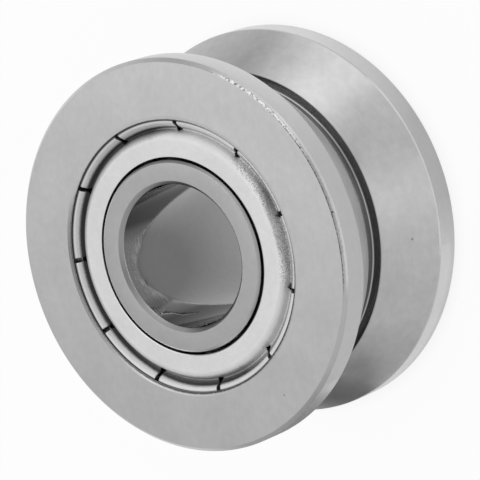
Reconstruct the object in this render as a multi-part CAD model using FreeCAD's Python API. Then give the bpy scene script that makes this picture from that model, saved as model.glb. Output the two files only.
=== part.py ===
import FreeCAD, Part
import math
import os

# Guide wheel with a V groove: a double row ball bearing whose thick outer ring is the wheel.
# Millimetres. The origin is the wheel's centre and +Z is its axis, out of the front face.

Vector = FreeCAD.Vector
ORIGIN = Vector(0, 0, 0)
AXIS = Vector(0, 0, 1)

# Wheel
outer_diameter = 41.0
width = 20.0
bore_diameter = 15.0
rim_chamfer = 0.4
bore_chamfer = 0.4

# V groove for the rail, with a relief slot at its root
groove_angle = 120.0
land_width = 3.05
land_break = 0.1
root_slot_width = 2.2
root_slot_depth = 0.92

# Ball rows. The ball circle lies this share of the way through the wall from bore to rim,
# which leaves metal for the tracks on one side and for the groove on the other.
ball_diameter = 5.556
balls_per_row = 8
ball_circle_share = 9 / 26
row_inset = 5.6
rear_row_turn = 22.5
ball_clearance = 0.04
track_radius = 2.89
inner_track_depth = 0.82
outer_track_depth = 0.97

# Riveted cage
cage_sheet = 0.4
cage_ribbon_width = 2.5
pocket_clearance = 0.1
rivet_shank_diameter = 0.8
rivet_head_diameter = 1.5
rivet_head_height = 0.35
rivet_clearance = 0.03

# Shield, a pressed ring with a slit curl round its edge
shield_sheet = 0.35
shield_inset = 0.25
shield_gap = 0.3
ring_end_chamfer = 0.25
shoulder_bend_radius = 0.6
shoulder_to_trench = 0.59
trench_bend_radius = 0.3
trench_corner_depth = 1.53
trench_to_curl = 1.17
curl_slope = 53.0
curl_bend_radius = 0.2
curl_inset = 0.2
slit_count = 11
slit_width = 0.42
slit_notch_width = 0.8
slit_notch_reach = 0.32
first_slit_angle = 10.5

# Crimp groove in the outer ring that holds the curl
seat_height = 0.35
seat_depth = 1.2
crimp_depth = 0.25
mouth_chamfer_width = 0.4
mouth_chamfer_depth = 0.12
lip_land = 0.05
crimp_clearance = 0.025

# Places that follow from the sizes above
half_width = width / 2
outer_radius = outer_diameter / 2
bore_radius = bore_diameter / 2
ball_radius = ball_diameter / 2
pitch_radius = bore_radius + (outer_radius - bore_radius) * ball_circle_share
row_height = half_width - row_inset
inner_track_floor = pitch_radius - ball_radius - ball_clearance
outer_track_floor = pitch_radius + ball_radius + ball_clearance
inner_shoulder_radius = inner_track_floor + inner_track_depth
outer_shoulder_radius = outer_track_floor - outer_track_depth
mouth_radius = outer_shoulder_radius + seat_height
crimp_radius = mouth_radius + crimp_depth
pocket_radius = ball_radius + pocket_clearance


def point(radius, height):
    """A point of a section, in the plane that holds the wheel's axis."""
    return Vector(radius, 0, height)


def turned(outline):
    """Solid of revolution about the wheel's axis from a closed outline of edges."""
    face = Part.Face(Part.Wire(Part.__sortEdges__(outline)))
    return face.revolve(ORIGIN, AXIS, 360)


def line(start, end):
    return Part.LineSegment(start, end).toShape()


def polyline(points):
    return [line(a, b) for a, b in zip(points, points[1:])]


def mirrored(points):
    """The points below the middle plane that match these above it, in the order that continues them."""
    return [point(p.x, -p.z) for p in reversed(points)]


def track_ends(track_centre, shoulder_radius, height):
    """The two points where a ball track of a row meets its shoulder, upper point first."""
    half = math.sqrt(track_radius ** 2 - (shoulder_radius - track_centre) ** 2)
    return point(shoulder_radius, height + half), point(shoulder_radius, height - half)


def track_arc(upper, lower, floor_radius, height):
    return Part.Arc(upper, point(floor_radius, height), lower).toShape()


def make_outer_ring():
    """The wheel itself: rim, V groove, relief slot, two ball tracks and a crimp groove at each end."""
    flank_rise = math.tan(math.radians(90 - groove_angle / 2))
    rim_half_width = half_width - land_width
    slot_half_width = root_slot_width / 2
    slot_edge_radius = outer_radius - (rim_half_width - slot_half_width) * flank_rise
    slot_floor_radius = slot_edge_radius - root_slot_depth
    lip_height = half_width - mouth_chamfer_depth
    seat_level = half_width - seat_depth

    rim_above = [
        point(mouth_radius + mouth_chamfer_width, half_width),
        point(outer_radius - rim_chamfer, half_width),
        point(outer_radius, half_width - rim_chamfer),
        point(outer_radius, rim_half_width + land_break),
        point(outer_radius - land_break * flank_rise, rim_half_width - land_break),
        point(slot_edge_radius, slot_half_width),
        point(slot_floor_radius, slot_half_width),
    ]
    outside = rim_above + mirrored(rim_above)

    track_centre = outer_track_floor - track_radius
    upper, lower = track_ends(track_centre, outer_shoulder_radius, row_height)
    mouth_above = [
        point(mouth_radius + mouth_chamfer_width, half_width),
        point(mouth_radius, lip_height),
        point(mouth_radius, lip_height - lip_land),
        point(crimp_radius, lip_height - lip_land - crimp_depth),
        point(crimp_radius, seat_level),
        point(outer_shoulder_radius, seat_level),
        upper,
    ]
    mouth_below = mirrored(mouth_above)

    outline = polyline(outside) + polyline(mouth_above) + polyline(mouth_below)
    outline.append(track_arc(upper, lower, outer_track_floor, row_height))
    outline.append(line(lower, point(lower.x, -lower.z)))
    outline.append(track_arc(point(lower.x, -lower.z), mouth_below[0], outer_track_floor, -row_height))
    return turned(outline)


def make_inner_ring():
    """Bored ring that stays still on its bolt, with the inner ball tracks."""
    track_centre = inner_track_floor + track_radius
    upper, lower = track_ends(track_centre, inner_shoulder_radius, row_height)
    end_above = [
        point(bore_radius, half_width - bore_chamfer),
        point(bore_radius + bore_chamfer, half_width),
        point(inner_shoulder_radius - ring_end_chamfer, half_width),
        point(inner_shoulder_radius, half_width - ring_end_chamfer),
        upper,
    ]
    end_below = mirrored(end_above)
    outline = polyline(end_above) + polyline(end_below)
    outline.append(track_arc(upper, lower, inner_track_floor, row_height))
    outline.append(line(lower, point(lower.x, -lower.z)))
    outline.append(track_arc(point(lower.x, -lower.z), end_below[0], inner_track_floor, -row_height))
    outline.append(line(end_below[-1], end_above[0]))
    return turned(outline)


def bent_path(corners, bend_radii):
    """Open wire through the corners, with an arc of the given radius at each corner between the ends."""
    edges = []
    start = corners[0]
    for before, corner, after, radius in zip(corners, corners[1:], corners[2:], bend_radii):
        back = (before - corner).normalize()
        ahead = (after - corner).normalize()
        half_opening = back.getAngle(ahead) / 2
        reach = radius / math.tan(half_opening)
        towards_centre = (back + ahead).normalize()
        centre_distance = radius / math.sin(half_opening)
        arc_start = corner + back * reach
        arc_middle = corner + towards_centre * (centre_distance - radius)
        arc_end = corner + ahead * reach
        edges.append(line(start, arc_start))
        edges.append(Part.Arc(arc_start, arc_middle, arc_end).toShape())
        start = arc_end
    edges.append(line(start, corners[-1]))
    return Part.Wire(edges)


def make_slit_cutter(trench_radius):
    """Prism that cuts one slit through the curl, with its pointed notch in the trench."""
    half_slit = slit_width / 2
    half_notch = slit_notch_width / 2
    notch_length = half_notch
    plan = [
        (trench_radius - slit_notch_reach, 0),
        (trench_radius, half_notch),
        (trench_radius + notch_length, half_slit),
        (crimp_radius + crimp_depth, half_slit),
    ]
    corners = [Vector(r, y, 0) for r, y in plan] + [Vector(r, -y, 0) for r, y in reversed(plan[1:])]
    face = Part.Face(Part.makePolygon(corners + corners[:1]))
    cutter = face.extrude(Vector(0, 0, 2 * trench_corner_depth))
    cutter.translate(Vector(0, 0, half_width - 2 * trench_corner_depth))
    return cutter


def make_front_shield():
    """Flat ring that drops into a trench and rises into a curl, whose free edge stands in the crimp groove.
    The hole in its middle is punched, so that edge is square."""
    half_sheet = shield_sheet / 2
    hole_radius = inner_shoulder_radius + shield_gap
    flat_level = half_width - shield_inset - half_sheet
    free_radius = crimp_radius - crimp_clearance - half_sheet
    trench_radius = free_radius - trench_to_curl
    curl_centre_level = half_width - curl_inset - half_sheet - curl_bend_radius
    curl_turn = math.radians(90 + curl_slope)
    curl_corner_level = curl_centre_level + curl_bend_radius * math.tan(curl_turn / 2)
    free_level = half_width - seat_depth + half_sheet + crimp_clearance
    corners = [
        point(hole_radius, flat_level),
        point(trench_radius - shoulder_to_trench, flat_level),
        point(trench_radius, half_width - trench_corner_depth),
        point(free_radius, curl_corner_level),
        point(free_radius, free_level),
    ]
    bends = [shoulder_bend_radius, trench_bend_radius, curl_bend_radius]
    section = bent_path(corners, bends).makeOffset2D(half_sheet, join=0, fill=False, openResult=False)
    shield = Part.Face(section).revolve(ORIGIN, AXIS, 360)
    cutters = [Part.makeCylinder(hole_radius, width, point(0, -half_width))]
    for number in range(slit_count):
        cutter = make_slit_cutter(trench_radius)
        cutter.rotate(ORIGIN, AXIS, first_slit_angle + number * 360 / slit_count)
        cutters.append(cutter)
    return shield.cut(Part.makeCompound(cutters))


def ball_angles(turn):
    return [turn + number * 360 / balls_per_row for number in range(balls_per_row)]


def on_pitch(angle, height):
    """Point on the pitch circle of a ball row."""
    radians = math.radians(angle)
    return Vector(pitch_radius * math.cos(radians), pitch_radius * math.sin(radians), height)


def make_ball(angle, height):
    return Part.makeSphere(ball_radius, on_pitch(angle, height))


def make_cage_half(turn, height, side):
    """One pressed half of a cage: a flat ribbon with a domed pocket for each ball. Side is 1 up or -1 down."""
    ribbon_outer = pitch_radius + cage_ribbon_width / 2
    ribbon_inner = pitch_radius - cage_ribbon_width / 2
    dome_height = pocket_radius + cage_sheet
    band = Part.makeCylinder(ribbon_outer, dome_height).cut(Part.makeCylinder(ribbon_inner, dome_height))
    ribbon = band.common(Part.makeCylinder(ribbon_outer, cage_sheet))
    domes = [Part.makeSphere(dome_height, on_pitch(angle, 0)) for angle in ball_angles(turn)]
    pockets = [Part.makeSphere(pocket_radius, on_pitch(angle, 0)) for angle in ball_angles(turn)]
    between = turn + 180 / balls_per_row
    hole_radius = rivet_shank_diameter / 2 + rivet_clearance
    holes = [
        Part.makeCylinder(hole_radius, cage_sheet, on_pitch(angle, 0)) for angle in ball_angles(between)
    ]
    half = ribbon.fuse([band.common(dome) for dome in domes]).cut(Part.makeCompound(pockets + holes))
    if side < 0:
        half = half.mirror(ORIGIN, AXIS)
    half.translate(Vector(0, 0, height))
    return half


def make_rivet():
    """Rivet with a domed head at each end, its middle at the origin."""
    shank = rivet_shank_diameter / 2
    head = rivet_head_diameter / 2
    crown = cage_sheet + rivet_head_height
    dome_radius = (head ** 2 + rivet_head_height ** 2) / (2 * rivet_head_height)
    half_angle = math.asin(head / dome_radius) / 2
    middle_radius = dome_radius * math.sin(half_angle)
    middle_height = crown - dome_radius * (1 - math.cos(half_angle))
    outline = [
        Part.Arc(point(0, crown), point(middle_radius, middle_height), point(head, cage_sheet)).toShape(),
        line(point(head, cage_sheet), point(shank, cage_sheet)),
        line(point(shank, cage_sheet), point(shank, -cage_sheet)),
        line(point(shank, -cage_sheet), point(head, -cage_sheet)),
        Part.Arc(point(head, -cage_sheet), point(middle_radius, -middle_height), point(0, -crown)).toShape(),
        line(point(0, -crown), point(0, crown)),
    ]
    return turned(outline)


def make_rivets(turn, height):
    """The rivets of one cage, as a group of separate solids."""
    rivets = []
    for angle in ball_angles(turn + 180 / balls_per_row):
        rivet = make_rivet()
        rivet.translate(on_pitch(angle, height))
        rivets.append(rivet)
    return Part.makeCompound(rivets)


def make_row(name, turn, height, outward):
    """Nodes of one ball row. Outward is 1 for the front row and -1 for the rear row."""
    row = {
        name + "_cage_outer_half": make_cage_half(turn, height, outward),
        name + "_cage_inner_half": make_cage_half(turn, height, -outward),
        name + "_cage_rivets": make_rivets(turn, height),
    }
    for number, angle in enumerate(ball_angles(turn), start=1):
        row[name + "_ball_" + str(number)] = make_ball(angle, height)
    return row


nodes = {
    "outer_ring": make_outer_ring(),
    "inner_ring": make_inner_ring(),
    "front_shield": make_front_shield(),
}
nodes["rear_shield"] = nodes["front_shield"].mirror(ORIGIN, AXIS)
nodes.update(make_row("front", 0, row_height, 1))
nodes.update(make_row("rear", rear_row_turn, -row_height, -1))

os.makedirs("parts", exist_ok=True)
for name, shape in nodes.items():
    shape.exportStep("parts/" + name + ".step")
    print(name, "solids", len(shape.Solids), "volume", round(shape.Volume, 2), "valid", shape.isValid())
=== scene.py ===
import math

import bmesh
import bpy
from mathutils import Matrix, Vector

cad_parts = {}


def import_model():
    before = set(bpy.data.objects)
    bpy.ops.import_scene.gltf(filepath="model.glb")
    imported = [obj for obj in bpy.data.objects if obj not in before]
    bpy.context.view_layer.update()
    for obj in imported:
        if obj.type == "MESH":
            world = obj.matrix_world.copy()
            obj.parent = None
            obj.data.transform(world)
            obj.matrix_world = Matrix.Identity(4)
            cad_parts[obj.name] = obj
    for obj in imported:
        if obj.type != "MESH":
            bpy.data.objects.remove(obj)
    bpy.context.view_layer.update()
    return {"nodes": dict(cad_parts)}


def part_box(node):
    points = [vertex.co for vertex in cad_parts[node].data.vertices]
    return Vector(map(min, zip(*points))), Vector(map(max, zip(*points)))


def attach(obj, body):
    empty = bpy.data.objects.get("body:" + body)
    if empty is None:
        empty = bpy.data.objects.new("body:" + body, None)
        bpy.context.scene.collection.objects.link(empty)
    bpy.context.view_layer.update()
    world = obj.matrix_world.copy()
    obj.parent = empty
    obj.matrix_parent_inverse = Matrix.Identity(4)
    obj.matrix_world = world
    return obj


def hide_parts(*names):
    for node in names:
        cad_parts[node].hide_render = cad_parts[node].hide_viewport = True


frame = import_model()

# V groove wheel: a turned steel wheel that is itself the outer ring of a shielded double row ball bearing.
# Lengths are in millimetres up to the last step, which writes metres. +Z is the wheel's axis, out of the
# front face. Angles are in degrees, and those round the axis start at +X and turn towards +Y.
MM = 0.001


def node_corners(node):
    """Lowest and highest corner of a node, in millimetres."""
    low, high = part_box(node)
    return Vector(low) / MM, Vector(high) / MM


# Sizes read from the frame
WHEEL_LOW, WHEEL_HIGH = node_corners("outer_ring")
OUTER_RADIUS = WHEEL_HIGH.x
HALF_WIDTH = WHEEL_HIGH.z
FLOOR_LEVEL = WHEEL_LOW.z
INNER_SHOULDER = node_corners("inner_ring")[1].x

# Wheel
RIM_CHAMFER = 0.4
LAND_WIDTH = 3.05
FRONT_LAND_BREAK = 0.03
REAR_LAND_BREAK = 0.1
FLANK_RISE = math.tan(math.radians(30))
SLOT_HALF_WIDTH = 1.1
SLOT_DEPTH = 0.92
BORE_RADIUS = 7.5
BORE_CHAMFER = 0.4
RING_END_CHAMFER = 0.25

# Ball rows
ROW_HEIGHT = 4.4
TRACK_RADIUS = 2.89
OUTER_TRACK_FLOOR = 14.818
INNER_TRACK_FLOOR = 9.182
OUTER_SHOULDER = 13.848

# Crimp groove
SEAT_HEIGHT = 0.35
SEAT_DEPTH = 1.2
CRIMP_DEPTH = 0.25
MOUTH_CHAMFER_WIDTH = 0.4
MOUTH_CHAMFER_DEPTH = 0.12
LIP_LAND = 0.05
MOUTH_RADIUS = OUTER_SHOULDER + SEAT_HEIGHT
CRIMP_RADIUS = MOUTH_RADIUS + CRIMP_DEPTH

# Radii of the rounded edges
EDGE = 0.05
LIP_EDGE = 0.03
LIP_BACK_EDGE = 0.01
SLOT_EDGE = 0.03
SLOT_CORNER = 0.2
BORE_EDGE = 0.06

# Shield
SHEET = 0.35
EDGE_BREAK = 0.04
SHIELD_INSET = 0.25
SHIELD_GAP = 0.3
CRIMP_CLEARANCE = 0.025
SHOULDER_TO_TRENCH = 0.59
SHOULDER_BEND = 0.6
TRENCH_CORNER_DEPTH = 1.53
TRENCH_BEND = 0.3
TRENCH_TO_CURL = 1.17
CURL_INSET = 0.2
CURL_BEND = 0.2
CURL_SLOPE = 53
FREE_RADIUS = CRIMP_RADIUS - CRIMP_CLEARANCE - SHEET / 2
TRENCH_RADIUS = FREE_RADIUS - TRENCH_TO_CURL

# Slits in the shield's curl
SLITS = 11
FIRST_SLIT = 10.5
SLIT_WIDTH = 0.42
SLIT_MOUTH = 0.55
NOTCH_WIDTH = 0.8
NOTCH_REACH = 0.32

# Fineness of the meshes: parts of a turn, of an arc or of the sheet between slits, and lengths of a straight
# part
TURN_STEPS = 720
SECTOR_STEPS = 48
EDGE_STEPS = 3
TRACK_STEPS = 12
BEND_STEPS = 10
CAP_STEPS = 6
RUN_STEP = 0.1
FREE_RUN_STEP = 0.15

# An edge takes at most this share of the runs beside it. A corner with a half angle over FLAT_CORNER stays as
# it is.
EDGE_SHARE = 0.45
FLAT_CORNER = 89

NORMAL_WEIGHT = 80


def rounded(corners):
    """Closed section with each sharp corner turned into a small arc. A corner is (radius, height, finish)
    and may end with its own edge radius. The finish belongs to the run that starts at the corner."""
    result = []
    count = len(corners)
    for index, corner in enumerate(corners):
        before = Vector(corners[index - 1][:2])
        here = Vector(corner[:2])
        after = Vector(corners[(index + 1) % count][:2])
        radius = corner[3] if len(corner) > 3 else EDGE
        back = before - here
        ahead = after - here
        half_opening = back.angle(ahead) / 2
        reach = min(radius / math.tan(half_opening), EDGE_SHARE * back.length, EDGE_SHARE * ahead.length)
        if radius == 0 or half_opening > math.radians(FLAT_CORNER):
            result.append((here.x, here.y, corner[2]))
            continue
        back.normalize()
        ahead.normalize()
        true_radius = reach * math.tan(half_opening)
        centre = here + (back + ahead).normalized() * (true_radius / math.sin(half_opening))
        start = here + back * reach - centre
        turn = start.angle_signed(here + ahead * reach - centre)
        finish_before = corners[index - 1][2]
        for step in range(EDGE_STEPS + 1):
            spoke = start.copy()
            spoke.rotate(Matrix.Rotation(-turn * step / EDGE_STEPS, 2))
            finish = corner[2] if step == EDGE_STEPS else finish_before
            result.append((centre.x + spoke.x, centre.y + spoke.y, finish))
    return result


def track(centre_radius, start, end, finish):
    """Corners along a ball track's arc in the section plane. Angles from the outward direction."""
    result = []
    for step in range(TRACK_STEPS + 1):
        angle = math.radians(start + (end - start) * step / TRACK_STEPS)
        radius = centre_radius + TRACK_RADIUS * math.cos(angle)
        height = ROW_HEIGHT + TRACK_RADIUS * math.sin(angle)
        result.append((radius, height, finish, 0))
    return result


def below(corners):
    """The corners below the middle plane that match those above it, in the order that continues them."""
    result = []
    for index in range(len(corners) - 1, -1, -1):
        finish = corners[index - 1][2] if index > 0 else corners[0][2]
        result.append((corners[index][0], -corners[index][1], finish) + tuple(corners[index][3:]))
    return result


def turn_outwards(work):
    """Turns every face of a closed mesh outwards."""
    bmesh.ops.recalc_face_normals(work, faces=work.faces)
    if work.calc_volume(signed=True) < 0:
        bmesh.ops.reverse_faces(work, faces=work.faces)


def lathe(section):
    """Mesh turned about the wheel's axis from a closed section of (radius, height, finish) points."""
    vertices = []
    for step in range(TURN_STEPS):
        angle = 2 * math.pi * step / TURN_STEPS
        for radius, height, finish in section:
            vertices.append((radius * math.cos(angle) * MM, radius * math.sin(angle) * MM, height * MM))
    count = len(section)
    faces = []
    finishes = []
    for step in range(TURN_STEPS):
        here = step * count
        there = (step + 1) % TURN_STEPS * count
        for index in range(count):
            following = (index + 1) % count
            faces.append((here + index, there + index, there + following, here + following))
            finishes.append(section[index][2])
    mesh = bpy.data.meshes.new("turned")
    mesh.from_pydata(vertices, [], faces)
    mesh.polygons.foreach_set("material_index", finishes)
    mesh.update()
    work = bmesh.new()
    work.from_mesh(mesh)
    turn_outwards(work)
    work.to_mesh(mesh)
    work.free()
    return mesh


def finish_mesh(name, body, replaced, mesh, materials):
    """Makes a mesh an object that rides on its body in place of a CAD node."""
    piece = bpy.data.objects.new(name, mesh)
    bpy.context.scene.collection.objects.link(piece)
    for material in materials:
        mesh.materials.append(material)
    for polygon in mesh.polygons:
        polygon.use_smooth = True
    weighted = piece.modifiers.new("weighted normals", "WEIGHTED_NORMAL")
    weighted.mode = "FACE_AREA"
    weighted.weight = NORMAL_WEIGHT
    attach(piece, body)
    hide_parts(replaced)


# Shader nodes


def add(tree, kind, inputs=None, **settings):
    """New shader node with its settings, and with inputs that are plain values or another node's output."""
    made = tree.nodes.new(kind)
    for key, value in settings.items():
        setattr(made, key, value)
    for key, value in (inputs or {}).items():
        if isinstance(value, bpy.types.NodeSocket):
            tree.links.new(value, made.inputs[key])
        else:
            made.inputs[key].default_value = value
    return made


def maths(tree, operation, a, b=0.0, c=0.0):
    return add(tree, "ShaderNodeMath", {0: a, 1: b, 2: c}, operation=operation).outputs[0]


def product(tree, *values):
    result = values[0]
    for value in values[1:]:
        result = maths(tree, "MULTIPLY", result, value)
    return result


def vector_maths(tree, operation, a, b=(0, 0, 0)):
    return add(tree, "ShaderNodeVectorMath", {0: a, 1: b}, operation=operation).outputs["Vector"]


def vector_value(tree, operation, a, b=(0, 0, 0)):
    """Number that a vector operation gives, such as a length, a distance or a dot product."""
    return add(tree, "ShaderNodeVectorMath", {0: a, 1: b}, operation=operation).outputs["Value"]


def mix(tree, factor, a, b):
    """First value where the factor is 0, and the second one where it is 1."""
    return add(tree, "ShaderNodeMix", {"Factor": factor, "A": a, "B": b}).outputs[0]


def ramp(tree, value, low, high, out_low, out_high):
    made = add(tree, "ShaderNodeMapRange", {
        "Value": value, "From Min": low, "From Max": high, "To Min": out_low, "To Max": out_high})
    return made.outputs["Result"]


def rises(tree, value, low, high):
    """0 up to the low value, and 1 from the high one on."""
    return ramp(tree, value, low, high, 0, 1)


def falls(tree, value, low, high):
    """1 up to the low value, and 0 from the high one on."""
    return ramp(tree, value, low, high, 1, 0)


def band(tree, value, low, high, soft):
    """1 between two values, falling to 0 over `soft` on each side."""
    return product(tree, rises(tree, value, low - soft, low), falls(tree, value, high, high + soft))


def fade(tree, mask, factor):
    """Factor where the mask is 1, and 1 where it is 0."""
    return ramp(tree, mask, 0, 1, 1, factor)


def noise(tree, place, scale, detail, rough):
    made = add(tree, "ShaderNodeTexNoise", {
        "Vector": place, "Scale": scale, "Detail": detail, "Roughness": rough})
    return made.outputs["Fac"]


def swing(tree, grain, middle, amount):
    """A noise spread by an amount to both sides of a middle value."""
    return ramp(tree, grain, NOISE_LOW, NOISE_HIGH, middle - amount, middle + amount)


def in_millimetres(tree):
    """Place on the object, in millimetres."""
    place = add(tree, "ShaderNodeTexCoord").outputs["Object"]
    return vector_maths(tree, "MULTIPLY", place, (1 / MM, 1 / MM, 1 / MM))


def parts_of(tree, place):
    """The three parts of a place, as sockets."""
    return add(tree, "ShaderNodeSeparateXYZ", {0: place}).outputs


def on_axis_plane(tree, place):
    """A place without its height, so that its length is the radius."""
    x, y = parts_of(tree, place)[:2]
    return add(tree, "ShaderNodeCombineXYZ", {0: x, 1: y}).outputs[0]


def radius_of(tree, place):
    return vector_value(tree, "LENGTH", on_axis_plane(tree, place))


def height_of(tree, place):
    return parts_of(tree, place)[2]


def direction_at(angle):
    """Direction at an angle round the axis."""
    turn = math.radians(angle)
    return math.cos(turn), math.sin(turn), 0


def sector(tree, place, angle, full, end):
    """1 within `full` degrees of an angle round the axis, falling to 0 at `end` degrees from it."""
    unit = vector_maths(tree, "NORMALIZE", on_axis_plane(tree, place))
    nearness = vector_value(tree, "DOT_PRODUCT", unit, direction_at(angle))
    return rises(tree, nearness, math.cos(math.radians(end)), math.cos(math.radians(full)))


def shaded_sectors(tree, place, marks, mask=1.0):
    """Product of factors that each hold in one sector, and only where the mask is 1."""
    shades = [fade(tree, product(tree, mask, sector(tree, place, *where)), factor) for where, factor in marks]
    return product(tree, *shades)


def spots(tree, place, marks):
    """1 inside small marks, each given by its place and its radius."""
    result = 0.0
    for centre, size in marks:
        gap = vector_value(tree, "DISTANCE", place, centre)
        result = maths(tree, "MAXIMUM", falls(tree, gap, size / 2, size), result)
    return result


def turned_place(tree, along, across):
    """Coordinates that follow the lathe's marks: slow round the axis, fast along radius and height."""
    place = in_millimetres(tree)
    run = maths(tree, "MULTIPLY_ADD", height_of(tree, place), HEIGHT_IN_RUN, radius_of(tree, place))
    x, y = parts_of(tree, vector_maths(tree, "NORMALIZE", on_axis_plane(tree, place)))[:2]
    return add(tree, "ShaderNodeCombineXYZ", {
        0: product(tree, x, along), 1: product(tree, y, along), 2: product(tree, run, across)}).outputs[0]


def straight_place(tree, angle, along, across):
    """Coordinates that follow straight grinding marks across a flat face."""
    place = in_millimetres(tree)
    turned = add(tree, "ShaderNodeVectorRotate", {"Vector": place, "Angle": -math.radians(angle)},
                 rotation_type="Z_AXIS").outputs[0]
    return vector_maths(tree, "MULTIPLY", turned, (along, across, across))


# Steel. A noise is its scale per millimetre, its detail and its roughness. Its values lie mostly between the
# low and the high one.

NOISE_LOW = 0.3
NOISE_HIGH = 0.7
TOOL_MARKS = (1.0, 3.0, 0.6)
CLOUDS = (0.18, 2.0, 0.5)
PATCHES = (1.1, 3.0, 0.6)
CLOUD_GLOSS = 0.02
MARK_GLOSS = 0.04
MARK_TINT = 0.03
MARK_GRAIN = (0.25, 0.75)

# Share of the height in the lathe's marks, so that they also run across faces that are not flat
HEIGHT_IN_RUN = 1.3
GRINDING_ANGLE = -25


def steel(name, colour, roughness, place_of, grain, mottle=0.02, wear_and_shade=None, dull=None):
    """Bare steel: fine marks along the machining direction, mottled by handling. Wear, painted light and
    painted shade scale its colour from place to place, and dull is added to its roughness."""
    material = bpy.data.materials.new(name)
    material.use_nodes = True
    tree = material.node_tree
    shader = tree.nodes["Principled BSDF"]
    shader.inputs["Metallic"].default_value = 1.0
    marks = noise(tree, place_of(tree), *TOOL_MARKS)
    clouds = noise(tree, in_millimetres(tree), *CLOUDS)
    patches = noise(tree, in_millimetres(tree), *PATCHES)
    gloss = maths(tree, "ADD", swing(tree, clouds, 0, CLOUD_GLOSS), swing(tree, marks, 0, MARK_GLOSS))
    gloss = maths(tree, "ADD", gloss, roughness)
    if dull:
        gloss = maths(tree, "ADD", gloss, dull(tree, in_millimetres(tree)))
    tree.links.new(gloss, shader.inputs["Roughness"])
    shade = product(
        tree,
        ramp(tree, marks, *MARK_GRAIN, 1 - MARK_TINT, 1 + MARK_TINT),
        swing(tree, clouds, 1, mottle),
        swing(tree, patches, 1, mottle))
    if wear_and_shade:
        shade = product(tree, shade, wear_and_shade(tree, in_millimetres(tree)))
    scaled = add(tree, "ShaderNodeVectorMath", {0: colour, "Scale": shade}, operation="SCALE").outputs[0]
    tree.links.new(scaled, shader.inputs["Base Color"])
    bump = add(tree, "ShaderNodeBump", {"Height": marks, "Strength": 1.0, "Distance": grain * MM})
    tree.links.new(bump.outputs["Normal"], shader.inputs["Normal"])
    return material


# Wear, painted light and painted shade. A sector is its angle round the axis, the half width in which it is
# full and the half width at which it ends. A small mark is its place and its radius. Factors scale the
# steel's colour. A range of grain is one of a noise's values, a run is a distance round the bore from +X, and
# other ranges are radii or heights.

CHIPPED_EDGE = (4.0, 3.0, 0.7)


def ragged(tree, place, amount):
    """Radius of a place, shaken by a fine noise so that an edge along it looks chipped."""
    shake = swing(tree, noise(tree, place, *CHIPPED_EDGE), 0, amount)
    return maths(tree, "ADD", radius_of(tree, place), shake)


# Painted shade on the front face and the ring's end: darker towards one side, lighter towards the other
SHADED_SIDE = 155
SIDE_SHADE_REACH = 20
SIDE_SHADE = 0.09
FACE_PITS = [((-12.04, -16.23, 10.0), 0.14), ((-16.66, -6.56, 10.0), 0.12)]
FACE_PIT_FACTOR = 0.45


def painted_side_shade(tree, place):
    """Painted shade and light: steel a little darker towards one side and lighter towards the other."""
    along = vector_value(tree, "DOT_PRODUCT", place, direction_at(SHADED_SIDE))
    return ramp(tree, along, -SIDE_SHADE_REACH, SIDE_SHADE_REACH, 1 + SIDE_SHADE, 1 - SIDE_SHADE)


def face_pits_and_shade(tree, place):
    return product(tree, painted_side_shade(tree, place), fade(tree, spots(tree, place, FACE_PITS), FACE_PIT_FACTOR))


# Painted shade and dirt on the ramp from the shield's flat down to the trench, and sectors where it is
# lighter
DUST = (6.0, 4.0, 0.8)
DUST_SHAKE = 0.1
RAMP_DIRT_AND_SHADE = (12.15, 13.1)
RAMP_DIRT_AND_SHADE_FACTOR = 0.12
LIGHTER_RAMP = [(220, 14, 40), (315, 16, 38)]
PARTLY_LIGHTER_RAMP = (180, 30, 75)
PARTLY = 0.45
LIGHTER_RAMP_SHIFT = 0.8

# Caked dirt in one sector of the trench
CAKED = (272, 26, 36)
CAKED_FACTOR = 0.7
CAKED_DARK = (287, 5, 15)
CAKED_DARK_FACTOR = 0.65
CAKED_ON_CURL = (13.9, 14.1)
CAKED_CURL_FACTOR = 0.55
CAKED_ROUGH = (12.5, 13.9)
CAKED_ROUGH_SOFT = 0.3
SPECKLE = (8.0, 2.0, 0.9)
SPECKLE_GRAIN = (0.35, 0.65)
SPECKLE_FACTORS = (0.5, 1.45)

# Foot of the curl, where the trench's painted shade and dirt end, and the dark line at the crimp, painted
# shade
CURL_FOOT = (13.4, 13.6)
CURL_SHAKE = 0.4
FOOT_LIGHTER = (345, 20, 50)
FOOT_LIGHTER_SHIFT = 0.12
FOOT_DARKER = (200, 40, 65)
FOOT_DARKER_SHIFT = -0.14
CRIMP_LINE = (14.12, 14.24)
CRIMP_LINE_WIDE = (50, 40, 110)
CRIMP_LINE_SHIFT = 0.22
CRIMP_LINE_FACTOR = 0.15

# Darker edge of the shield's hole, in one sector
HOLE_EDGE = (10.38, 10.46)
HOLE_DARK_SECTOR = (228, 45, 72)
HOLE_DARK_FACTOR = 0.1

TRENCH_START = (11.9, 12.3)
TRENCH_DULL = 0.3


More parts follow.
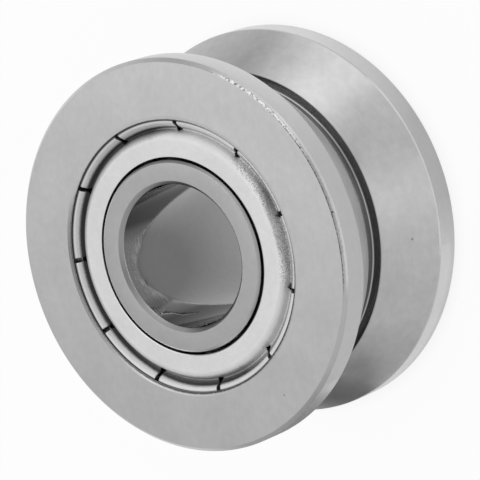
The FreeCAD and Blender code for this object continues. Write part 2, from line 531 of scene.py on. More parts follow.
def trench_dirt_and_shade(tree, place):
    """Painted shade and dirt in the shield's trench, lighter in some sectors, and a dark line at the crimp:
    painted shade where the curl meets the ring.
    """
    radius = radius_of(tree, place)
    dust = swing(tree, noise(tree, place, *DUST), 0, DUST_SHAKE)
    caked = sector(tree, place, *CAKED)

    # Painted shade and dirt darken the ramp down into the trench, less in some sectors.
    lighter = maths(tree, "MAXIMUM", *[sector(tree, place, *where) for where in LIGHTER_RAMP])
    lighter = maths(tree, "MAXIMUM", lighter, product(tree, sector(tree, place, *PARTLY_LIGHTER_RAMP), PARTLY))
    shifted = maths(tree, "SUBTRACT", radius, product(tree, lighter, LIGHTER_RAMP_SHIFT))
    down = ramp(tree, maths(tree, "ADD", shifted, dust), *RAMP_DIRT_AND_SHADE, 1, RAMP_DIRT_AND_SHADE_FACTOR)
    caked_dark = fade(tree, sector(tree, place, *CAKED_DARK), CAKED_DARK_FACTOR)
    down = maths(tree, "MAXIMUM", down, product(tree, caked, CAKED_FACTOR, caked_dark))

    risen = maths(tree, "MULTIPLY_ADD", dust, CURL_SHAKE, radius)
    risen = maths(tree, "MULTIPLY_ADD", sector(tree, place, *FOOT_LIGHTER), FOOT_LIGHTER_SHIFT, risen)
    risen = maths(tree, "MULTIPLY_ADD", sector(tree, place, *FOOT_DARKER), FOOT_DARKER_SHIFT, risen)
    on_curl = product(tree, caked, falls(tree, radius, *CAKED_ON_CURL))
    up = product(tree, rises(tree, risen, *CURL_FOOT), fade(tree, on_curl, CAKED_CURL_FACTOR))

    # Painted shade: a dark line at the crimp, where the curl meets the ring.
    widened = maths(tree, "MULTIPLY_ADD", sector(tree, place, *CRIMP_LINE_WIDE), CRIMP_LINE_SHIFT, radius)
    crimp = ramp(tree, widened, *CRIMP_LINE, 1, CRIMP_LINE_FACTOR)
    speckle = ramp(tree, noise(tree, place, *SPECKLE), *SPECKLE_GRAIN, *SPECKLE_FACTORS)
    rough_patch = product(tree, caked, band(tree, radius, *CAKED_ROUGH, CAKED_ROUGH_SOFT))
    hole = product(tree, falls(tree, radius, *HOLE_EDGE), sector(tree, place, *HOLE_DARK_SECTOR))
    return product(
        tree,
        maths(tree, "MAXIMUM", down, up),
        crimp,
        mix(tree, rough_patch, 1.0, speckle),
        fade(tree, hole, HOLE_DARK_FACTOR))


def trench_dullness(tree, place):
    return ramp(tree, radius_of(tree, place), *TRENCH_START, 0, TRENCH_DULL)


# Painted shade at the mouth of the crimp groove, where the shield's curl meets the ring
LIP_SHAKE = 0.04
LIP_SHADE = (14.12, 14.26)
LIP_SHADE_FACTOR = 0.15
LIP_SHADE_REACH = [((190, 30, 75), 0.2), ((95, 40, 75), 0.08), ((290, 50, 70), 0.06)]
LIP_SECTORS = [((318, 75, 100), 1.2), ((92, 20, 45), 0.5)]


def lip_painted_shade(tree, place):
    """Painted shade at the mouth of the crimp groove, where the shield's curl meets the ring. It reaches
    further up the chamfer in some sectors, and one sector is painted lighter and another darker."""
    edge = ragged(tree, place, LIP_SHAKE)
    for where, reach in LIP_SHADE_REACH:
        edge = maths(tree, "MULTIPLY_ADD", sector(tree, place, *where), -reach, edge)
    shaded_lip = ramp(tree, edge, *LIP_SHADE, LIP_SHADE_FACTOR, 1)
    return product(tree, shaded_lip, shaded_sectors(tree, place, LIP_SECTORS))


# Front edge of the rim, with painted highlights and glints: radii of its marks, and how soft their edges are
RIM_SHAKE = 0.06
RIM_SOFT = 0.05
CHIPPED = (272, 24, 30)
CHIPPED_DARK = (20.06, 20.14)
CHIPPED_DARK_FACTOR = 0.3
RIM_BURR_HIGHLIGHT = (20.36, 20.5)
RIM_BURR_HIGHLIGHT_FACTOR = 1.4
DENTED = (304, 15, 20)
DENTS = (3.5, 3.0, 0.8)
SPARKLING_GRAIN = (0.42, 0.54)
SPARKLING = (20.05, 20.28)
SPARKLE_FACTOR = 1.75
DENT_GRAIN = (0.4, 0.46)
DENTS_ACROSS = (20.05, 20.3)
DENT_FACTOR = 0.4
# Sectors of the chamfer painted brighter or darker: painted reflections and shade
RIM_SECTORS = [
    ((28, 22, 48), 1.4),
    ((90, 15, 35), 0.83),
    ((148, 10, 30), 1.3),
    ((193, 10, 28), 0.76),
    ((340, 27, 40), 0.89),
]
RIM_PITS = [((-1.07, -20.18, 9.85), 0.14)]
RIM_PIT_FACTOR = 0.2


def rim_marks_and_highlights(tree, place):
    """Front edge of the rim: a chipped dark line inside, a painted highlight along the burr outside, painted
    glints and dark dents, sectors of painted reflection and shade, and a pit.
    """
    radius = ragged(tree, place, RIM_SHAKE)
    chipped = sector(tree, place, *CHIPPED)
    dented = sector(tree, place, *DENTED)
    grain = noise(tree, place, *DENTS)
    dark = product(tree, band(tree, radius, *CHIPPED_DARK, RIM_SOFT), chipped)
    bright = product(tree, band(tree, radius, *RIM_BURR_HIGHLIGHT, RIM_SOFT), chipped)
    sparkle = product(tree, rises(tree, grain, *SPARKLING_GRAIN), band(tree, radius, *SPARKLING, RIM_SOFT))
    dent = product(tree, falls(tree, grain, *DENT_GRAIN), band(tree, radius, *DENTS_ACROSS, RIM_SOFT))
    return product(
        tree,
        fade(tree, dark, CHIPPED_DARK_FACTOR),
        fade(tree, bright, RIM_BURR_HIGHLIGHT_FACTOR),
        fade(tree, product(tree, sparkle, dented), SPARKLE_FACTOR),
        fade(tree, product(tree, dent, dented), DENT_FACTOR),
        shaded_sectors(tree, place, RIM_SECTORS),
        fade(tree, spots(tree, place, RIM_PITS), RIM_PIT_FACTOR))


# Lighter stripe on the rear land, and a painted highlight in one sector of the front one
STRIPE = (-8.6, -7.3)
STRIPE_SOFT = 0.5
STRIPE_SECTOR = (220, 26, 27)
STRIPE_FACTOR = 1.08
ABOVE_MIDDLE = (0, 1)
FRONT_LAND_SECTORS = [((195, 6, 20), 1.85)]


def land_stripe_and_highlight(tree, place):
    """Lighter stripe on the rear land, with an abrupt end, and a painted highlight in one sector of the front
    land.
    """
    height = height_of(tree, place)
    stripe = product(tree, band(tree, height, *STRIPE, STRIPE_SOFT), sector(tree, place, *STRIPE_SECTOR))
    front = rises(tree, height, *ABOVE_MIDDLE)
    # Painted highlight: one sector of the front land is brighter
    highlighted = shaded_sectors(tree, place, FRONT_LAND_SECTORS, front)
    return product(tree, fade(tree, stripe, STRIPE_FACTOR), highlighted)


# Painted reflections and shade on the flanks, and a small pit
FRONT_FLANK = (1.0, 3.5)
FRONT_FLANK_FACTOR = 0.84
FRONT_FLANK_SECTORS = [((303, 6, 18), 0.85), ((264, 12, 24), 1.1)]
FLANK_SECTORS = [
    ((310, 5, 17), 1.12),
    ((328, 4, 18), 0.93),
    ((355, 18, 28), 0.72),
    ((178, 5, 18), 0.68),
    ((210, 4, 14), 0.86),
]
FLANK_FOOT = (17.12, 17.2)
FLANK_FOOT_FACTOR = 0.4
FLANK_PITS = [((-6.49, -17.78, -4.22), 0.16)]
FLANK_PIT_FACTOR = 0.45
FLANK_DULL_FROM = (-0.5, 0.5)
FLANK_DULL = 0.2


def flank_pit_and_painted_light(tree, place):
    """A small pit, sectors painted brighter or darker as painted reflections and shade, a front flank painted
    darker than the rear one, and a dark line of painted shade at the slot."""
    front = rises(tree, height_of(tree, place), *FRONT_FLANK)
    foot = falls(tree, radius_of(tree, place), *FLANK_FOOT)
    return product(
        tree,
        shaded_sectors(tree, place, FLANK_SECTORS),
        fade(tree, front, FRONT_FLANK_FACTOR),
        fade(tree, foot, FLANK_FOOT_FACTOR),
        shaded_sectors(tree, place, FRONT_FLANK_SECTORS, front),
        fade(tree, spots(tree, place, FLANK_PITS), FLANK_PIT_FACTOR))


def flank_dullness(tree, place):
    """The front flank is a little rougher than the rear one."""
    return ramp(tree, height_of(tree, place), *FLANK_DULL_FROM, 0, FLANK_DULL)


SLOT_WALL = (16.28, 16.42)
SLOT_WALL_FACTOR = 0.47
SLOT_LIT = (-0.7, -0.2)
SLOT_LIT_SECTOR = (320, 45, 80)
SLOT_LIT_ELSEWHERE = 0.2
SLOT_LIT_FACTOR = 1.8


def slot_shade(tree, place):
    """Darker walls, and a floor that brightens towards the front wall, mostly on one side."""
    wall = rises(tree, radius_of(tree, place), *SLOT_WALL)
    lit = rises(tree, height_of(tree, place), *SLOT_LIT)
    side = mix(tree, sector(tree, place, *SLOT_LIT_SECTOR), SLOT_LIT_ELSEWHERE, 1.0)
    brightened = fade(tree, product(tree, lit, side), SLOT_LIT_FACTOR)
    return product(tree, fade(tree, wall, SLOT_WALL_FACTOR), brightened)


# Chamfers of the inner ring's end, at the bore and outside, with painted highlights and shade
BORE_EDGE_SECTORS = [((255, 45, 75), 1.9), ((190, 14, 32), 0.55)]
OUTER_EDGE = (9.5, 10.0)
OUTER_EDGE_FACTOR = 0.6
OUTER_EDGE_SECTORS = [((115, 75, 105), 4.5)]
OUTER_EDGE_DULL_FROM = (9.5, 9.8)
OUTER_EDGE_DULL = 0.2


def ring_edge_painted_light(tree, place):
    """Edge of the bore, with a painted highlight on one side and painted shade on the other, and the ring's
    outer edge, painted darker with a painted highlight in one sector.
    """
    outer = rises(tree, radius_of(tree, place), *OUTER_EDGE)
    # Painted highlights and shade on the ring's chamfers
    return product(
        tree,
        shaded_sectors(tree, place, BORE_EDGE_SECTORS),
        fade(tree, outer, OUTER_EDGE_FACTOR),
        shaded_sectors(tree, place, OUTER_EDGE_SECTORS, outer))


def ring_edge_dullness(tree, place):
    return ramp(tree, radius_of(tree, place), *OUTER_EDGE_DULL_FROM, 0, OUTER_EDGE_DULL)


# Wavy burr in the bore, with a painted highlight on its crest and a painted shadow under it. Its crest and
# its shadow are strips, given as offsets in height from its line.
BURR_RUN = (16.9, 18.7)
BURR_LINE_RUN = (16.98, 18.72)
BURR_LINE_HEIGHTS = (8.95, 5.5)
BURR_WAVES = (0.8, 3.0, 0.5)
BURR_WAVE_HEIGHT = 0.6
BURR_SOFT = 0.1
BURR_CREST = (-0.05, 0.25)
BURR_CREST_HIGHLIGHT = 2.6
BURR_SHADOW = (-0.7, -0.2)
BURR_SHADOW_FACTOR = 0.35

# Upper part of the bore's wall, with a painted highlight in one sector and painted shade in another. Its
# lower edge rises across the bore, and dips in one sector.
UPPER_SLOPE = 2.467
UPPER_START = (-10.3, -9.7)
UPPER_DIP = (91, 20, 28)
UPPER_DIP_DEPTH = 0.4
BORE_HIGHLIGHT = (94, 27, 44)
BORE_HIGHLIGHT_FACTOR = 3.5
DARKENED = (15, 18, 40)
DARKENED_FACTOR = 0.65

# Smaller marks in the bore
BORE_CHIPS = (4.0, 2.0, 0.8)
CHIP_GRAIN = (0.42, 0.58)
CHIP_FACTORS = (0.5, 1.7)
CHIP_RUN = (16.0, 17.2)
CHIP_HEIGHTS = (8.2, 9.4)
CHIP_SOFT = 0.3
SCRATCH_HEIGHTS = (7.6, 7.7)
SCRATCH_RUN = (12.8, 13.4)
SCRATCH_SOFT = 0.08
SCRATCH_END_SOFT = 0.1
SCRATCH_FACTOR = 0.5
BORE_SPECKS = [((7.28, 1.79, 8.33), 0.18), ((-7.43, 1.0, 8.51), 0.18)]
SPECK_FACTOR = 3.5
BORE_MARKS_DULL = 0.5


def round_the_bore(tree, place):
    """Distance round the bore's wall from +X, and height."""
    x, y, z = parts_of(tree, place)
    return product(tree, maths(tree, "ARCTAN2", y, x), BORE_RADIUS), z


def bore_burr(tree, place, low, high):
    """1 in a strip along the wavy burr, between two offsets from its line."""
    along, height = round_the_bore(tree, place)
    wave = swing(tree, noise(tree, place, *BURR_WAVES), 0, BURR_WAVE_HEIGHT)
    line = maths(tree, "ADD", ramp(tree, along, *BURR_LINE_RUN, *BURR_LINE_HEIGHTS), wave)
    offset = maths(tree, "SUBTRACT", height, line)
    return product(tree, band(tree, offset, low, high, BURR_SOFT), band(tree, along, *BURR_RUN, BURR_SOFT))


def bore_marks_and_painted_light(tree, place):
    """Bore: a painted highlight and painted shade in its upper part, a wavy burr with a painted highlight and
    a painted shadow, chipped marks, a short scratch and two bright specks.
    """
    along, height = round_the_bore(tree, place)
    across = parts_of(tree, place)[1]
    level = maths(tree, "MULTIPLY_ADD", across, -UPPER_SLOPE, height)
    level = maths(tree, "MULTIPLY_ADD", sector(tree, place, *UPPER_DIP), UPPER_DIP_DEPTH, level)
    upper = rises(tree, level, *UPPER_START)
    chips = ramp(tree, noise(tree, place, *BORE_CHIPS), *CHIP_GRAIN, *CHIP_FACTORS)
    chipped = product(
        tree,
        band(tree, along, *CHIP_RUN, CHIP_SOFT),
        band(tree, height, *CHIP_HEIGHTS, CHIP_SOFT))
    scratch = product(
        tree,
        band(tree, height, *SCRATCH_HEIGHTS, SCRATCH_SOFT),
        band(tree, along, *SCRATCH_RUN, SCRATCH_END_SOFT))
    # Painted highlight and shade in the upper bore, and a painted highlight and shadow along the burr
    return product(
        tree,
        shaded_sectors(tree, place, [(BORE_HIGHLIGHT, BORE_HIGHLIGHT_FACTOR), (DARKENED, DARKENED_FACTOR)], upper),
        mix(tree, chipped, 1.0, chips),
        fade(tree, bore_burr(tree, place, *BURR_CREST), BURR_CREST_HIGHLIGHT),
        fade(tree, bore_burr(tree, place, *BURR_SHADOW), BURR_SHADOW_FACTOR),
        fade(tree, scratch, SCRATCH_FACTOR),
        fade(tree, spots(tree, place, BORE_SPECKS), SPECK_FACTOR))


def bore_dullness(tree, place):
    """The burr and the specks scatter light."""
    matt = maths(tree, "MAXIMUM", bore_burr(tree, place, *BURR_CREST), spots(tree, place, BORE_SPECKS))
    return product(tree, matt, BORE_MARKS_DULL)


face_steel = steel(
    "ground face", (0.56, 0.56, 0.565), 0.42, lambda t: straight_place(t, GRINDING_ANGLE, 0.5, 5), 0.0006,
    mottle=0.035, wear_and_shade=face_pits_and_shade)
rim_steel = steel(
    "ground rim", (0.59, 0.59, 0.595), 0.38, lambda t: turned_place(t, 6, 5), 0.0006, wear_and_shade=land_stripe_and_highlight)
flank_steel = steel(
    "ground flank", (0.56, 0.56, 0.565), 0.36, lambda t: turned_place(t, 8, 4), 0.0006,
    mottle=0.05, wear_and_shade=flank_pit_and_painted_light, dull=flank_dullness)
slot_steel = steel(
    "turned slot", (0.42, 0.42, 0.424), 0.22, lambda t: turned_place(t, 3, 6), 0.0005, wear_and_shade=slot_shade)
chamfer_steel = steel(
    "turned chamfer", (0.54, 0.54, 0.545), 0.36, lambda t: turned_place(t, 8, 8), 0.001, wear_and_shade=rim_marks_and_highlights)
lip_steel = steel(
    "crimp groove mouth", (0.52, 0.52, 0.525), 0.4, lambda t: turned_place(t, 8, 8), 0.001, wear_and_shade=lip_painted_shade)
hidden_steel = steel("ball track", (0.4, 0.4, 0.405), 0.3, lambda t: turned_place(t, 3, 6), 0.0004)
end_steel = steel(
    "ring end", (0.46, 0.46, 0.465), 0.4, lambda t: turned_place(t, 8, 6), 0.0005, mottle=0.03, wear_and_shade=painted_side_shade)
ring_edge_steel = steel(
    "ring edge", (0.36, 0.36, 0.365), 0.36, lambda t: turned_place(t, 8, 8), 0.0005,
    wear_and_shade=ring_edge_painted_light, dull=ring_edge_dullness)
bore_steel = steel(
    "honed bore", (0.27, 0.27, 0.273), 0.08, lambda t: turned_place(t, 10, 3), 0.0002,
    wear_and_shade=bore_marks_and_painted_light, dull=bore_dullness)
sheet_steel = steel(
    "pressed sheet", (0.79, 0.79, 0.795), 0.34, lambda t: turned_place(t, 30, 3), 0.0006,
    wear_and_shade=trench_dirt_and_shade, dull=trench_dullness)
# Dark steel for the slit walls: partly dirt, partly painted shade in the slits
cut_steel = steel("cut edge of the sheet", (0.2, 0.2, 0.202), 0.5, in_millimetres, 0.0)
ball_steel = steel("polished ball", (0.72, 0.72, 0.73), 0.08, in_millimetres, 0.0)
cage_steel = steel("pressed cage", (0.55, 0.55, 0.56), 0.35, in_millimetres, 0.0006)
rivet_steel = steel("rivet", (0.5, 0.5, 0.51), 0.35, in_millimetres, 0.0006)


# Outer ring, which is the wheel

FACE, RIM, FLANK, SLOT, CHAMFER, HIDDEN, LIP = range(7)


def outside(land_break):
    """Corners of one half of the wheel's outside, from the lip round the rim to the slot's floor."""
    rim_edge = HALF_WIDTH - LAND_WIDTH
    slot_edge = OUTER_RADIUS - (rim_edge - SLOT_HALF_WIDTH) * FLANK_RISE
    return [
        (MOUTH_RADIUS + MOUTH_CHAMFER_WIDTH, HALF_WIDTH, FACE),
        (OUTER_RADIUS - RIM_CHAMFER, HALF_WIDTH, CHAMFER),
        (OUTER_RADIUS, HALF_WIDTH - RIM_CHAMFER, RIM),
        (OUTER_RADIUS, rim_edge + land_break, CHAMFER),
        (OUTER_RADIUS - land_break * FLANK_RISE, rim_edge - land_break, FLANK),
        (slot_edge, SLOT_HALF_WIDTH, SLOT, SLOT_EDGE),
        (slot_edge - SLOT_DEPTH, SLOT_HALF_WIDTH, SLOT, SLOT_CORNER),
    ]


def outer_ring():
    lip = HALF_WIDTH - MOUTH_CHAMFER_DEPTH
    track_centre = OUTER_TRACK_FLOOR - TRACK_RADIUS
    half_angle = math.degrees(math.acos((OUTER_SHOULDER - track_centre) / TRACK_RADIUS))
    mouth = [
        (MOUTH_RADIUS, lip, LIP, LIP_EDGE),
        (MOUTH_RADIUS, lip - LIP_LAND, HIDDEN, LIP_BACK_EDGE),
        (CRIMP_RADIUS, lip - LIP_LAND - CRIMP_DEPTH, HIDDEN),
        (CRIMP_RADIUS, HALF_WIDTH - SEAT_DEPTH, HIDDEN),
        (OUTER_SHOULDER, HALF_WIDTH - SEAT_DEPTH, HIDDEN),
    ]
    mouth += track(track_centre, half_angle, -half_angle, HIDDEN)
    mouth_below = [(radius, -height, *rest) for radius, height, *rest in mouth]
    outline = outside(FRONT_LAND_BREAK) + below(outside(REAR_LAND_BREAK))
    outline[-1] = outline[-1][:2] + (LIP,)
    mesh = lathe(rounded(outline + mouth_below + mouth[::-1]))
    materials = [face_steel, rim_steel, flank_steel, slot_steel, chamfer_steel, hidden_steel, lip_steel]
    finish_mesh("wheel_ring", "wheel", "outer_ring", mesh, materials)


# Inner ring

END, BORE, END_CHAMFER, INNER_HIDDEN = range(4)


def inner_ring():
    track_centre = INNER_TRACK_FLOOR + TRACK_RADIUS
    half_angle = math.degrees(math.acos((track_centre - INNER_SHOULDER) / TRACK_RADIUS))
    above = [
        (BORE_RADIUS, HALF_WIDTH - BORE_CHAMFER, END_CHAMFER, BORE_EDGE),
        (BORE_RADIUS + BORE_CHAMFER, HALF_WIDTH, END),
        (INNER_SHOULDER - RING_END_CHAMFER, HALF_WIDTH, END_CHAMFER),
        (INNER_SHOULDER, HALF_WIDTH - RING_END_CHAMFER, INNER_HIDDEN),
    ]
    above += track(track_centre, 180 - half_angle, 180 + half_angle, INNER_HIDDEN)
    section = above + below(above)
    section[-1] = section[-1][:2] + (BORE, BORE_EDGE)
    mesh = lathe(rounded(section))
    materials = [end_steel, bore_steel, ring_edge_steel, hidden_steel]
    finish_mesh("bearing_inner_ring", "inner", "inner_ring", mesh, materials)


# Shields. The slit walls have the second of the shield's two finishes, a dark steel: partly dirt, partly
# painted shade.

CUT = 1


def straight_run(start, end, step):
    """Places and normals along a straight run, without its last place."""
    run = end - start
    direction = run.normalized()
    normal = Vector((-direction.y, direction.x))
    count = max(1, round(run.length / step))
    return [(start + run * index / count, normal) for index in range(count)]


def shield_path():
    """Middle line of the shield's sheet as (place, normal) pairs, from its inner edge to its free edge."""
    inner_edge = INNER_SHOULDER + SHIELD_GAP
    flat_level = HALF_WIDTH - SHIELD_INSET - SHEET / 2
    curl_centre = HALF_WIDTH - CURL_INSET - SHEET / 2 - CURL_BEND
    curl_corner = curl_centre + CURL_BEND * math.tan(math.radians(90 + CURL_SLOPE) / 2)
    free_level = HALF_WIDTH - SEAT_DEPTH + SHEET / 2 + CRIMP_CLEARANCE
    corners = [
        Vector((inner_edge, flat_level)),
        Vector((TRENCH_RADIUS - SHOULDER_TO_TRENCH, flat_level)),
        Vector((TRENCH_RADIUS, HALF_WIDTH - TRENCH_CORNER_DEPTH)),
        Vector((FREE_RADIUS, curl_corner)),
        Vector((FREE_RADIUS, free_level)),
    ]
    bends = (SHOULDER_BEND, TRENCH_BEND, CURL_BEND)
    path = []
    start = corners[0]
    for before, corner, after, radius in zip(corners, corners[1:], corners[2:], bends):
        back = (before - corner).normalized()
        ahead = (after - corner).normalized()
        half_opening = back.angle(ahead) / 2
        reach = radius / math.tan(half_opening)
        arc_start = corner + back * reach
        path += straight_run(start, arc_start, RUN_STEP)
        centre = corner + (back + ahead).normalized() * (radius / math.sin(half_opening))
        spoke = arc_start - centre
        turn = spoke.angle_signed(corner + ahead * reach - centre)
        side = 1 if turn > 0 else -1
        for step in range(BEND_STEPS):
            here = spoke.copy()
            here.rotate(Matrix.Rotation(-turn * step / BEND_STEPS, 2))
            path.append((centre + here, here.normalized() * side))
        start = corner + ahead * reach
    path += straight_run(start, corners[-1], FREE_RUN_STEP)
    direction = (corners[-1] - start).normalized()
    path.append((corners[-1], Vector((-direction.y, direction.x))))
    return path


def slit_half_width(radius):
    """Half width of a slit at a radius: a pointed notch in the trench, then a cut that the crimp spreads."""
    notch_end = TRENCH_RADIUS + NOTCH_WIDTH / 2
    tip = TRENCH_RADIUS - NOTCH_REACH
    if radius <= tip:
        return 0.0
    if radius < TRENCH_RADIUS:
        return NOTCH_WIDTH / 2 * (radius - tip) / NOTCH_REACH
    if radius < notch_end:
        share = (radius - TRENCH_RADIUS) / (notch_end - TRENCH_RADIUS)
        return NOTCH_WIDTH / 2 + (SLIT_WIDTH - NOTCH_WIDTH) / 2 * share
    spread = min(1.0, (radius - notch_end) / (TRENCH_TO_CURL - NOTCH_WIDTH / 2))
    return SLIT_WIDTH / 2 + (SLIT_MOUTH - SLIT_WIDTH) / 2 * spread


def sheet_section(path):
    """Closed section of the sheet: one side of its middle line, the round free edge, the other side and the
    inner edge. Each place comes with the half width of a slit there."""
    half = SHEET / 2
    widths = [slit_half_width(place.x) for place, normal in path]
    places = [place + normal * half for place, normal in path]
    end_place, end_normal = path[-1]
    for step in range(1, CAP_STEPS):
        spoke = end_normal * half
        spoke.rotate(Matrix.Rotation(math.pi * step / CAP_STEPS, 2))
        places.append(end_place + spoke)
    places += [place - normal * half for place, normal in reversed(path)]
    places[0] += Vector((EDGE_BREAK, 0))
    places[-1] += Vector((EDGE_BREAK, 0))
    inner_place, inner_normal = path[0]
    for offset in (EDGE_BREAK - half, half - EDGE_BREAK):
        places.append(inner_place + inner_normal * offset)
    cap_widths = [widths[-1]] * (CAP_STEPS - 1)
    return list(zip(places, widths + cap_widths + widths[::-1] + [0.0, 0.0]))


def slit_wall(work, column, section, last):
    """Faces that close one side of a slit. Last is the number of the section's point at the free edge."""
    far_start = last + CAP_STEPS
    for index in range(last):
        if section[index][1] == 0 and section[index + 1][1] == 0:
            continue
        mirrored = far_start + last - index
        wall = work.faces.new((column[index], column[index + 1], column[mirrored - 1], column[mirrored]))
        wall.material_index = CUT
    work.faces.new(column[last:far_start + 1])


def shield(name, node, side):
    """Pressed shield with its slit curl. Side is 1 for the front one and -1 for the rear one."""
    path = shield_path()
    section = sheet_section(path)
    count = len(section)
    pitch = 2 * math.pi / SLITS
    work = bmesh.new()
    for slit in range(SLITS):
        start = math.radians(FIRST_SLIT) + slit * pitch
        columns = []
        for step in range(SECTOR_STEPS + 1):
            share = step / SECTOR_STEPS
            column = []
            for place, width in section:
                gap = width / place.x
                angle = start + gap + (pitch - 2 * gap) * share
                column.append(work.verts.new((
                    place.x * math.cos(angle) * MM, place.x * math.sin(angle) * MM, place.y * side * MM)))
            columns.append(column)
        for here, there in zip(columns, columns[1:]):
            for index in range(count):
                following = (index + 1) % count
                work.faces.new((here[index], there[index], there[following], here[following]))
        slit_wall(work, columns[0], section, len(path) - 1)
        slit_wall(work, columns[-1], section, len(path) - 1)
    bmesh.ops.remove_doubles(work, verts=work.verts, dist=1e-5 * MM)
    turn_outwards(work)
    mesh = bpy.data.meshes.new(name)
    work.to_mesh(mesh)
    work.free()
    finish_mesh(name, "wheel", node, mesh, [sheet_steel, cut_steel])


outer_ring()
inner_ring()
shield("front_dust_shield", "front_shield", 1)
shield("rear_dust_shield", "rear_shield", -1)

# Balls, cages and rivets keep their CAD shape
for node, piece in frame["nodes"].items():
    if "_ball_" in node or "_cage_" in node:
        kind = ball_steel if "_ball_" in node else rivet_steel if "rivets" in node else cage_steel
        piece.data.materials.clear()
        piece.data.materials.append(kind)


# Floor. Its half side is in metres. ACROSS_BORE is a range along Y and BORE_LIGHT one of strengths. Other
# ranges are radii.

FLOOR_HALF_SIDE = 3.0
WHITE = (1, 1, 1, 1)
PAPER = (0.9, 0.9, 0.9, 1)
FLOOR_SEEN = 0.93
FLOOR_MIRRORED = 0.5
FLOOR_DULL = 0.85
UNDER_WHEEL = (9.8, 21.8)
UNDER_WHEEL_GLOW = 0.2
POOL = (5, 35, 80)
POOL_REACH = (32, 42)
POOL_FACTOR = 1.85
CLOSE = (180, 60, 80)
CLOSE_REACH = (23, 28)
CLOSE_FACTOR = 1.6
UNDER_BORE = (7.85, 8.0)
ACROSS_BORE = (-1.0, 6.0)
BORE_LIGHT = (0.56, 0.95)


def floor_material():
    """White paper with its shadows, under a glow that is plain white to the camera. The glow fades under the
    wheel, a painted shadow. The steel mirrors a duller glow, brighter in a pool on one side and close to the
    wheel on the other. The glow under the bore brightens across it."""
    material = bpy.data.materials.new("white floor")
    material.use_nodes = True
    tree = material.node_tree
    tree.nodes.clear()
    path = add(tree, "ShaderNodeLightPath")
    camera_ray = path.outputs["Is Camera Ray"]
    glossy_ray = path.outputs["Is Glossy Ray"]
    place = in_millimetres(tree)
    reach = radius_of(tree, place)
    under_bore = falls(tree, reach, *UNDER_BORE)

    mirrored = product(tree, glossy_ray, FLOOR_MIRRORED)
    seen = maths(tree, "MAXIMUM", product(tree, camera_ray, FLOOR_SEEN), mirrored)
    # Painted shadow: the glow fades under the wheel
    glow = product(tree, seen, ramp(tree, reach, *UNDER_WHEEL, UNDER_WHEEL_GLOW, 1))
    glow = maths(tree, "MAXIMUM", glow, product(tree, under_bore, glossy_ray))

    pool = product(tree, sector(tree, place, *POOL), falls(tree, reach, *POOL_REACH))
    close = product(tree, sector(tree, place, *CLOSE), falls(tree, reach, *CLOSE_REACH))
    lit = product(tree, FLOOR_DULL, fade(tree, pool, POOL_FACTOR), fade(tree, close, CLOSE_FACTOR))
    across = parts_of(tree, place)[1]
    lit = mix(tree, under_bore, lit, ramp(tree, across, *ACROSS_BORE, *BORE_LIGHT))
    strength = mix(tree, camera_ray, lit, 1.0)

    white = add(tree, "ShaderNodeEmission", {"Color": WHITE, "Strength": strength}).outputs[0]
    paper = add(tree, "ShaderNodeBsdfDiffuse", {"Color": PAPER}).outputs[0]
    mixed = add(tree, "ShaderNodeMixShader", {0: glow, 1: paper, 2: white}).outputs[0]
    add(tree, "ShaderNodeOutputMaterial", {"Surface": mixed})
    return material


def floor():
    mesh = bpy.data.meshes.new("floor")
    corners = [(-1, -1), (1, -1), (1, 1), (-1, 1)]
    vertices = [(x * FLOOR_HALF_SIDE, y * FLOOR_HALF_SIDE, FLOOR_LEVEL * MM) for x, y in corners]
    mesh.from_pydata(vertices, [], [(0, 1, 2, 3)])
    mesh.materials.append(floor_material())
    plane = bpy.data.objects.new("floor", mesh)
    bpy.context.scene.collection.objects.link(plane)


# World and lamps. The ranges are parts of a unit direction: along X, and towards the camera's side.

HORIZON_LIGHT = 0.69
ZENITH_LIGHT = 0.8
DARK_SIDE = (-1.0, -0.94)
DARK_SIDE_LIGHT = 0.35
CAMERA_SIDE = (0.9, 0.98)
CAMERA_SIDE_LIGHT = 0.45

# Camera of the photograph. CLIP_END is in metres.
CAMERA_PLACE = (-0.50, -240.90, 297.41)
CAMERA_RISE = 51
CAMERA_ROLL = -110.3
LENS = 276.97
SENSOR = 36
CLIP_END = 100

CARD_GREY = (0.2, 0.2, 0.2, 1)
CARD_ROUGHNESS = 0.9
CARD_LIFT = 0.05


def world():
    """Plain pale studio, darker at one side and behind the camera's place. The camera sees it white."""
    dome = bpy.data.worlds.new("studio")
    bpy.context.scene.world = dome
    dome.use_nodes = True
    tree = dome.node_tree
    tree.nodes.clear()
    direction = add(tree, "ShaderNodeTexCoord").outputs["Generated"]
    parts = parts_of(tree, direction)
    rising = ramp(tree, parts[2], 0, 1, HORIZON_LIGHT, ZENITH_LIGHT)
    side = ramp(tree, parts[0], *DARK_SIDE, DARK_SIDE_LIGHT / HORIZON_LIGHT, 1)
    rise = math.radians(CAMERA_RISE)
    near = vector_value(tree, "DOT_PRODUCT", direction, (0, -math.cos(rise), math.sin(rise)))
    strength = product(tree, rising, side, ramp(tree, near, *CAMERA_SIDE, 1, CAMERA_SIDE_LIGHT))
    path = add(tree, "ShaderNodeLightPath")
    strength = maths(tree, "MAXIMUM", strength, path.outputs["Is Camera Ray"])
    light = add(tree, "ShaderNodeBackground", {"Color": WHITE, "Strength": strength}).outputs[0]
    add(tree, "ShaderNodeOutputWorld", {"Surface": light})


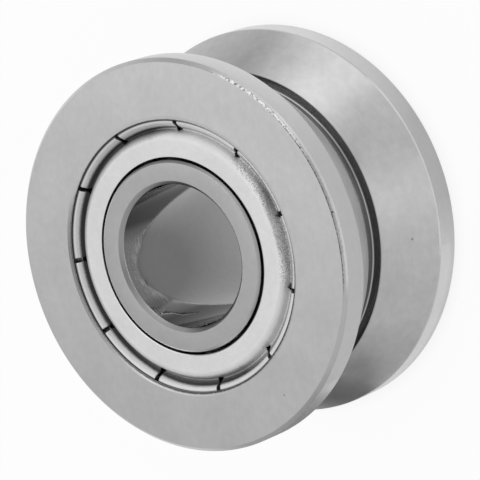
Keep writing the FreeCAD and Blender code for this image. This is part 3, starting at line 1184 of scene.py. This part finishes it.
def soft_light(name, azimuth, elevation, distance, size, radiance):
    """Square soft light that faces the wheel."""
    turn = math.radians(azimuth)
    rise = math.radians(elevation)
    away = Vector((math.cos(turn) * math.cos(rise), math.sin(turn) * math.cos(rise), math.sin(rise)))
    lamp = bpy.data.lights.new(name, "AREA")
    lamp.shape = "SQUARE"
    lamp.size = size * MM
    lamp.energy = radiance * math.pi * lamp.size ** 2
    light = bpy.data.objects.new(name, lamp)
    light.location = away * distance * MM
    light.rotation_euler = away.to_track_quat("Z", "Y").to_euler()
    bpy.context.scene.collection.objects.link(light)


def dark_card(name, corners):
    """Dark card just above the floor, seen only in the steel's reflections: painted shade that stands in for
    the shadow beside the wheel.
    """
    level = FLOOR_LEVEL + CARD_LIFT
    mesh = bpy.data.meshes.new(name)
    mesh.from_pydata([(x * MM, y * MM, level * MM) for x, y in corners], [], [range(len(corners))])
    material = bpy.data.materials.new("black card")
    material.use_nodes = True
    shader = material.node_tree.nodes["Principled BSDF"]
    shader.inputs["Base Color"].default_value = CARD_GREY
    shader.inputs["Roughness"].default_value = CARD_ROUGHNESS
    mesh.materials.append(material)
    card = bpy.data.objects.new(name, mesh)
    bpy.context.scene.collection.objects.link(card)
    card.visible_camera = False
    card.visible_diffuse = False
    card.visible_shadow = False


def camera():
    """Camera of the photograph: 51 degrees above the front face's plane, rolled on its side."""
    rise = math.radians(CAMERA_RISE)
    roll = math.radians(CAMERA_ROLL)
    level = Vector((1, 0, 0))
    upright = Vector((0, math.sin(rise), math.cos(rise)))
    right = level * math.cos(roll) + upright * math.sin(roll)
    up = upright * math.cos(roll) - level * math.sin(roll)
    back = right.cross(up)
    lens = bpy.data.cameras.new("camera")
    lens.lens = LENS
    lens.sensor_width = SENSOR
    lens.clip_end = CLIP_END
    eye = bpy.data.objects.new("camera", lens)
    turned = Matrix((right, up, back)).transposed().to_4x4()
    eye.matrix_world = Matrix.Translation(Vector(CAMERA_PLACE) * MM) @ turned
    bpy.context.scene.collection.objects.link(eye)
    bpy.context.scene.camera = eye


floor()
world()
camera()
soft_light("side_light", azimuth=-27, elevation=12, distance=320, size=200, radiance=0.75)
soft_light("front_light", azimuth=-98, elevation=14, distance=320, size=170, radiance=0.4)
soft_light("top_light", azimuth=30, elevation=68, distance=500, size=260, radiance=1.2)
# Painted shade: a dark card seen only in the steel's reflections
dark_card("dark_card", [(-24, -1), (-24, 26), (-60, 34), (-66, -12)])
bpy.context.scene.view_settings.view_transform = "Standard"
